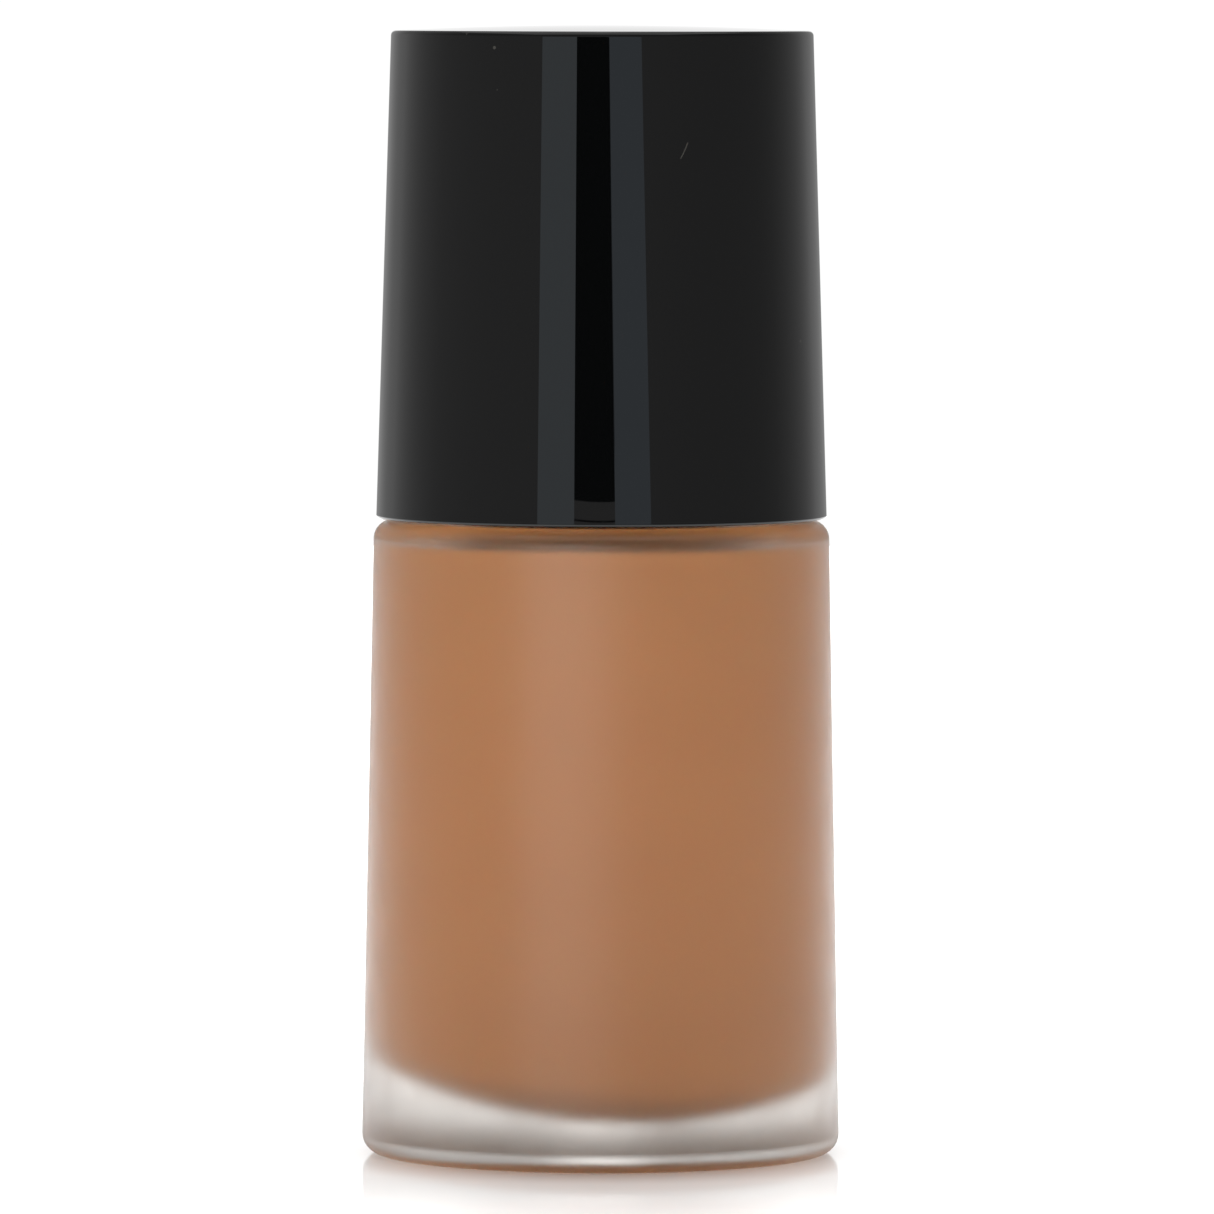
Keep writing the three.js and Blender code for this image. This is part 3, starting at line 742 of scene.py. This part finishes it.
def cross_bar(radius, start, end, height):
    """A cutting bar along Y from start to end, in millimetres."""
    bpy.ops.mesh.primitive_cylinder_add(vertices=64, radius=radius * MM, depth=abs(end - start) * MM)
    bar = bpy.context.object
    bar.rotation_euler = (math.pi / 2, 0, 0)
    bar.location = (0, (start + end) / 2 * MM, height * MM)
    return bar


def build_stem():
    radius, bottom, top = node_box("pump_stem")
    corners = [(0.95, bottom, 0.08), (radius, bottom, 0.12), (radius, top, 0.12), (0.95, top, 0.08)]
    piece = turned("stem_pump", corners, NARROW)
    port, port_height, reach = 0.45, 59.2, 3
    join_or_cut(piece, cross_bar(port, -reach, reach, port_height), "DIFFERENCE")
    place(piece, "stem", natural, "natural_plastic", "pump_stem")
    radius, bottom, top = node_box("stem_plug")
    corners = [
        (0, bottom),
        (1.6, bottom, 0.2),
        (1.8, bottom + 1.2, 0.1),
        (radius, bottom + 1.2, 0.12),
        (radius, bottom + 1.7, 0.1),
        (2.1, bottom + 1.9, 0.1),
        (0.9, bottom + 1.9, 0.05),
        (0.9, top, 0.1),
        (0, top),
    ]
    place(turned("plug_stem", corners, NARROW, closed=False), "stem", natural, "natural_plastic", "stem_plug")


# ---- Pump head --------------------------------------------------------------------------------------

SPOUT_HEIGHT = 83.1
SPOUT = 2.0
CHANNEL = 0.9


def build_core():
    _, bottom, top = node_box("actuator_core")
    low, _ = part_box("actuator_core")
    reach = -low[1] / MM
    corners = [
        (0, bottom),
        (3.4, bottom, 0.25),
        (3.4, top - 1.0, 0.4),
        (6.3, top - 0.8, 0.1),
        (6.3, top, 0.1),
        (0, top),
    ]
    piece = turned("core_actuator", corners, MEDIUM, closed=False)
    chamfer, depth = 0.35, 0.6
    mouth = [
        (0, 0),
        (SPOUT, 0),
        (SPOUT, reach, 0.35),
        (CHANNEL + chamfer, reach, 0.12),
        (CHANNEL + chamfer, reach - depth, 0.1),
        (0, reach - depth),
    ]
    spout = turned("spout", mouth, MEDIUM, closed=False)
    spout.data.transform(spout_frame())
    join_or_cut(piece, spout, "UNION")
    join_or_cut(piece, cross_bar(CHANNEL, -reach - 1, 0, SPOUT_HEIGHT), "DIFFERENCE")
    low_end, high_end = bottom - 1, 81.8
    socket = [(0, low_end), (STEM_CLEAR, low_end), (STEM_CLEAR, high_end), (0, high_end)]
    join_or_cut(piece, turned("socket", socket, NARROW, closed=False), "DIFFERENCE")
    return place(piece, "actuator", satin, "satin_black", "actuator_core")


def spout_frame():
    """Turns a shape built up Z so that it points along -Y at the spout's height."""
    return Matrix.Translation((0, 0, SPOUT_HEIGHT * MM)) @ Matrix.Rotation(math.pi / 2, 4, "X")


def build_button():
    radius, bottom, top = node_box("actuator_button")
    inner = 6.4
    under = top - 1.7
    dish_radius, dish_depth = 6.0, 0.5
    dish = []
    for share in (0.92, 0.8, 0.65, 0.5, 0.35, 0.2, 0):
        dish.append((dish_radius * share, top - dish_depth * (1 - share * share) ** 1.5))
    corners = [
        (0, under),
        (inner, under, 0.15),
        (inner, bottom, 0.15),
        (radius, bottom, 0.2),
        (radius, top, 0.8),
        (6.3, top, 0.3),
        *dish,
    ]
    piece = turned("button_actuator", corners, MEDIUM, closed=False)
    join_or_cut(piece, cross_bar(SPOUT + 0.1, -radius - 2, -inner + 2, SPOUT_HEIGHT), "DIFFERENCE")
    return place(piece, "actuator", black, "gloss_black", "actuator_button")


# ---- Collar -----------------------------------------------------------------------------------------

RING_BORE = 9.1
RING_PLAIN = 0.3  # height of the plain bore at each end of its threaded wall


def ring_swell(turn, radius, height):
    if abs(radius - RING_BORE) > SAME_WALL:
        return 0
    return -RING_THREAD_RISE * thread_height(turn, height, RING_THREAD_START, RING_THREAD_HALF)


def build_screw_ring():
    radius, bottom, top = node_box("screw_ring")
    wall = threaded_wall(RING_BORE, FLANGE_FOOT - RING_PLAIN, bottom + RING_PLAIN)
    corners = [
        (RING_BORE, bottom, 0.15),
        (radius, bottom, 0.2),
        (radius, top, 0.3),
        (7.7, top, 0.15),
        (7.7, FLANGE_FOOT, 0.1),
        (RING_BORE, FLANGE_FOOT, 0.1),
        *wall,
    ]
    piece = turned("ring_screw", corners, MEDIUM, swell=ring_swell)
    return place(piece, "collar", satin, "satin_black", "screw_ring")


def build_collar():
    radius, bottom, top = node_box("collar_shell")
    roof = 71.6
    bead = 58.6
    corners = [
        (10.75, bottom, 0.1),
        (radius, bottom, 0.15),
        (radius, bottom + 0.7, 0.25),
        (12.4, bottom + 0.85, 0.3),
        (12.4, bead - 0.4, 0.2),
        (12.6, bead, 0.3),
        (12.4, bead + 0.4, 0.2),
        (12.4, roof, 0.9),
        (9.7, roof, 0.25),
        (9.7, top, 0.35),
        (8.5, top, 0.2),
        (8.5, roof, 0.2),
        (4.0, roof, 0.15),
        (4.0, roof - 1.0, 0.1),
        (10.75, roof - 1.0, 0.2),
    ]
    return place(turned("shell_collar", corners, WIDE), "collar", black, "gloss_black", "collar_shell")


# ---- Overcap ----------------------------------------------------------------------------------------

CAP_TOP_EDGE = 0.45
CAP_BOTTOM_EDGE = 0.2


def build_cap_shell():
    radius, bottom, crown = node_box("overcap_shell")
    rim = 96.3
    top_radius = 18.08
    wall = 1.6
    ceiling = 94.1
    lean = (radius - top_radius) / (rim - bottom)
    dome = []
    for share in (0.9, 0.75, 0.6, 0.45, 0.3, 0.15, 0):
        dome.append(((top_radius - CAP_TOP_EDGE) * share, rim + (crown - rim) * (1 - share * share)))
    corners = [
        (0, ceiling),
        (radius - lean * (ceiling - bottom) - wall, ceiling, 0.4),
        (radius - wall, bottom, 0.3),
        (radius, bottom, CAP_BOTTOM_EDGE),
        (top_radius, rim, CAP_TOP_EDGE),
        *dome,
    ]
    piece = turned("shell_overcap", corners, WIDEST, closed=False)
    return place(piece, "cap", black, "gloss_black", "overcap_shell")


def build_cap_liner():
    _, bottom, top = node_box("overcap_liner")
    inner, outer = 12.75, 13.65
    flange = 17.4
    bead = 60.2
    corners = [
        (0, top - 0.8),
        (inner, top - 0.8, 0.6),
        (inner, bead + 0.4, 0.2),
        (inner - 0.05, bead, 0.1),
        (inner, bead - 0.4, 0.2),
        (inner, bottom, 0.4),
        (flange, bottom, 0.2),
        (flange, bottom + 1.0, 0.2),
        (outer, bottom + 1.0, 0.3),
        (outer, top, 0.5),
        (0, top),
    ]
    piece = turned("liner_overcap", corners, MEDIUM, closed=False)
    foot, head = bottom + 0.9, top - 2.0
    foot_reach, head_reach = 17.34, 16.23
    ribs, root, half_width = 6, 0.4, 0.5
    for i in range(ribs):
        rib = rib_mesh(outer - root, foot, head, foot_reach, head_reach, half_width)
        rib.rotation_euler = (0, 0, (i + 0.5) * 2 * math.pi / ribs)
        join_or_cut(piece, rib, "UNION")
    return place(piece, "cap", satin, "satin_black", "overcap_liner")


def rib_mesh(inner, foot, head, foot_reach, head_reach, half):
    """An upright rib that tapers with the overcap's wall."""
    mesh = bmesh.new()
    outline = [(inner, foot), (foot_reach, foot), (head_reach, head), (inner, head)]
    near = [mesh.verts.new((x * MM, -half * MM, z * MM)) for x, z in outline]
    far = [mesh.verts.new((x * MM, half * MM, z * MM)) for x, z in outline]
    mesh.faces.new(near)
    mesh.faces.new(list(reversed(far)))
    for i in range(4):
        j = (i + 1) % 4
        mesh.faces.new((near[j], near[i], far[i], far[j]))
    bmesh.ops.recalc_face_normals(mesh, faces=mesh.faces)
    bmesh.ops.bevel(mesh, geom=mesh.edges, offset=0.12 * MM, segments=2, affect="EDGES", profile=0.5)
    data = bpy.data.meshes.new("rib")
    mesh.to_mesh(data)
    mesh.free()
    return add_object("rib", data)


build_glass()
build_liquid()
build_label()
build_gaskets()
build_housing()
build_turret()
build_dip_tube()
build_ball_retainer()
build_check_ball()
build_spring()
build_piston()
build_stem()
build_core()
build_button()
build_screw_ring()
build_collar()
build_cap_shell()
build_cap_liner()

# ---- Studio -----------------------------------------------------------------------------------------

# Luminance of the room at bearings from the camera's side, in degrees: a white sheet straight behind, paler
# walls off to its sides, and dimmer ones in front.
LEFT_ROOM = [
    (0, 0.34), (95, 0.36), (112, 0.42), (127, 0.50), (135, 0.54),
    (145, 0.46), (160, 0.45), (172, 0.36), (175.5, 1.02),
]
RIGHT_ROOM = [
    (0, 0.29), (92, 0.26), (102, 0.27), (113, 0.31), (128, 0.375),
    (144, 0.47), (163, 0.39), (172, 0.33), (175.5, 1.02),
]
BACK_TONE = 1.02
BAND = (0.08, 0.5)  # sines of the heights between which the room's light falls off
ABOVE_BAND = 0.65  # share of it that is left above and below that band


def build_world():
    world = bpy.data.worlds.new("studio")
    bpy.context.scene.world = world
    world.use_nodes = True
    nodes, links = world.node_tree.nodes, world.node_tree.links
    nodes.clear()
    direction = nodes.new("ShaderNodeTexCoord").outputs["Generated"]
    parts = nodes.new("ShaderNodeSeparateXYZ")
    links.new(direction, parts.inputs[0])
    front = nodes.new("ShaderNodeMath")
    front.operation = "MULTIPLY"
    links.new(parts.outputs["Y"], front.inputs[0])
    front.inputs[1].default_value = -1
    bearing = nodes.new("ShaderNodeMath")
    bearing.operation = "ARCTAN2"
    links.new(parts.outputs["X"], bearing.inputs[0])
    links.new(front.outputs[0], bearing.inputs[1])
    tilt = nodes.new("ShaderNodeMath")
    tilt.operation = "ABSOLUTE"
    links.new(parts.outputs["Z"], tilt.inputs[0])
    fall = nodes.new("ShaderNodeMapRange")
    fall.interpolation_type = "SMOOTHSTEP"
    fall.inputs["From Min"].default_value, fall.inputs["From Max"].default_value = BAND
    fall.inputs["To Min"].default_value, fall.inputs["To Max"].default_value = (1.0, ABOVE_BAND)
    links.new(tilt.outputs[0], fall.inputs["Value"])
    turn = nodes.new("ShaderNodeMapRange")
    turn.inputs["From Min"].default_value = -math.pi
    turn.inputs["From Max"].default_value = math.pi
    links.new(bearing.outputs[0], turn.inputs["Value"])
    stops = [(0.5 - angle / 360, tone) for angle, tone in reversed(LEFT_ROOM)]
    stops += [(0.5 + angle / 360, tone) for angle, tone in RIGHT_ROOM[1:]]
    ramp = nodes.new("ShaderNodeValToRGB")
    tones = ramp.color_ramp.elements
    while len(tones) < len(stops):
        tones.new(0.5)
    for tone, (position, value) in zip(tones, stops):
        tone.position = position
        tone.color = (value, value, value, 1)
    links.new(turn.outputs["Result"], ramp.inputs["Fac"])
    around = nodes.new("ShaderNodeBackground")
    links.new(ramp.outputs["Color"], around.inputs["Color"])
    links.new(fall.outputs["Result"], around.inputs["Strength"])
    seen = nodes.new("ShaderNodeBackground")
    seen.inputs["Color"].default_value = (BACK_TONE, BACK_TONE, BACK_TONE, 1)
    rays = nodes.new("ShaderNodeLightPath")
    mix = nodes.new("ShaderNodeMixShader")
    links.new(rays.outputs["Is Camera Ray"], mix.inputs["Fac"])
    links.new(around.outputs[0], mix.inputs[1])
    links.new(seen.outputs[0], mix.inputs[2])
    output = nodes.new("ShaderNodeOutputWorld")
    links.new(mix.outputs[0], output.inputs["Surface"])


def emission(name, color, strength):
    material = bpy.data.materials.new(name)
    material.use_nodes = True
    nodes, links = material.node_tree.nodes, material.node_tree.links
    nodes.clear()
    glow = nodes.new("ShaderNodeEmission")
    glow.inputs["Color"].default_value = (*color, 1)
    glow.inputs["Strength"].default_value = strength
    links.new(glow.outputs[0], nodes.new("ShaderNodeOutputMaterial").inputs["Surface"])
    return material


CARD_DISTANCE = 0.6


def card(name, foot, head, low, high, color, strength):
    """A curved upright card in front of the bottle, that only reflections see.

    foot and head are its edges' bearings in degrees, from -Y towards +X, at its lower and upper end.
    """
    steps = 12
    mesh = bmesh.new()
    rows = []
    for bearings, height in ((foot, low), (head, high)):
        row = []
        for i in range(steps + 1):
            angle = math.radians(bearings[0] + (bearings[1] - bearings[0]) * i / steps)
            side = CARD_DISTANCE * math.sin(angle)
            row.append(mesh.verts.new((side, -CARD_DISTANCE * math.cos(angle), height)))
        rows.append(row)
    for i in range(steps):
        mesh.faces.new((rows[0][i], rows[0][i + 1], rows[1][i + 1], rows[1][i]))
    data = bpy.data.meshes.new(name)
    mesh.to_mesh(data)
    mesh.free()
    piece = add_object(name, data)
    piece.data.materials.append(emission(name, color, strength))
    piece.visible_camera = False
    piece.visible_diffuse = False
    piece.visible_transmission = False
    piece.visible_shadow = False


def build_cards():
    """Two pale strips with a dark gap between them, which ends above the table's front edge."""
    low, high = 0.06, 0.17
    gap_low, line_high, line_low = 0.0658, 0.06335, 0.0631
    foot, head = (-13.6, 7.0), (-13.3, 1.5)
    card("strip_left", (-32.3, -13.6), (-31.9, -13.3), low, high, (0.93, 1.03, 1.1), 0.76)
    card("strip_right", (7.0, 25.0), (1.5, 18.2), low, high, (0.88, 1.0, 1.12), 0.66)
    card("gap_dark", foot, head, gap_low, high, (0.8, 1.0, 1.0), 0.03)
    card("gap_foot", foot, foot, line_high, gap_low, (1, 1, 1), 0.34)
    card("gap_line", foot, foot, line_low, line_high, (1, 1, 1), 0.02)
    card("gap_under", foot, foot, low, line_low, (1, 1, 1), 0.36)


def softbox(name, location, target, size, strength, mirrored=True):
    data = bpy.data.lights.new(name, "AREA")
    data.shape = "RECTANGLE"
    data.size, data.size_y = size
    data.energy = strength
    light = add_object(name, data)
    light.location = location
    light.rotation_euler = (Vector(target) - Vector(location)).to_track_quat("-Z", "Y").to_euler()
    light.visible_camera = False
    light.visible_glossy = mirrored


def build_floor():
    """A glossy round white table whose glow is painted light and shade. A bright patch under the bottle paints
    light from below. A dim ring round its foot paints its contact shadow. The glow grows away from the bottle,
    least of all just in front of it and behind it, and this paints shade there.
    """
    radius, drop = 1.1, 0.00002
    bpy.ops.mesh.primitive_circle_add(
        vertices=256, radius=radius, fill_type="NGON", location=(0, 0, -drop)
    )
    floor = bpy.context.object
    floor.name = "floor"
    m = Nodes("floor_painted_glow")
    m.set(Base_Color=(0.8, 0.8, 0.8, 1), Roughness=0.1, IOR=1.45)
    m.shader.inputs["Emission Color"].default_value = (1, 1, 1, 1)
    stretch = m.add("ShaderNodeVectorMath", operation="MULTIPLY")
    stretch.inputs[1].default_value = (2, 1, 1)
    m.link(m.place, stretch.inputs[0])
    away = m.add("ShaderNodeVectorMath", operation="LENGTH")
    m.link(m.place, away.inputs[0])
    oval = m.add("ShaderNodeVectorMath", operation="LENGTH")
    m.link(stretch.outputs[0], oval.inputs[0])
    # Painted light and painted shadow: under paints light from below the bottle, then falls to a dim ring
    # round its foot that paints the contact shadow; beside lifts the glow again a little further out
    under = m.ramp(away.outputs["Value"], 0.0165, 0.0187, 0.7, 0.1)
    beside = m.ramp(away.outputs["Value"], 0.019, 0.029, 0.0, 0.19)
    # Painted shade in front of the bottle and behind it: the glow grows along a distance stretched in X, so it
    # stays dim longest along Y
    painted_oval_fade = m.ramp(oval.outputs["Value"], 0.018, 0.108, 0.0, 0.9)
    glow = m.math("ADD", m.math("ADD", under, beside), painted_oval_fade)
    m.link(glow, m.shader.inputs["Emission Strength"])
    floor.data.materials.append(m.material)


def build_camera():
    data = bpy.data.cameras.new("camera")
    data.sensor_width = 36
    data.lens = 365.3
    data.clip_start, data.clip_end = 0.1, 20
    camera = add_object("camera", data)
    distance, height, pitch, roll = 1.055, 0.1022, 3.0, -0.1
    camera.location = (0.00039, -distance, height)
    camera.rotation_euler = (math.radians(90 - pitch), math.radians(roll), 0)
    bpy.context.scene.camera = camera


build_world()
build_cards()
softbox("softbox_top", (0, -0.05, 0.85), (0, 0, 0), (1.1, 1.1), 3)
softbox("softbox_front", (-0.3, -0.95, 0.15), (0, 0, 0.04), (0.8, 0.6), 3.5, mirrored=False)
build_floor()
build_camera()
bpy.context.scene.view_settings.view_transform = "Standard"
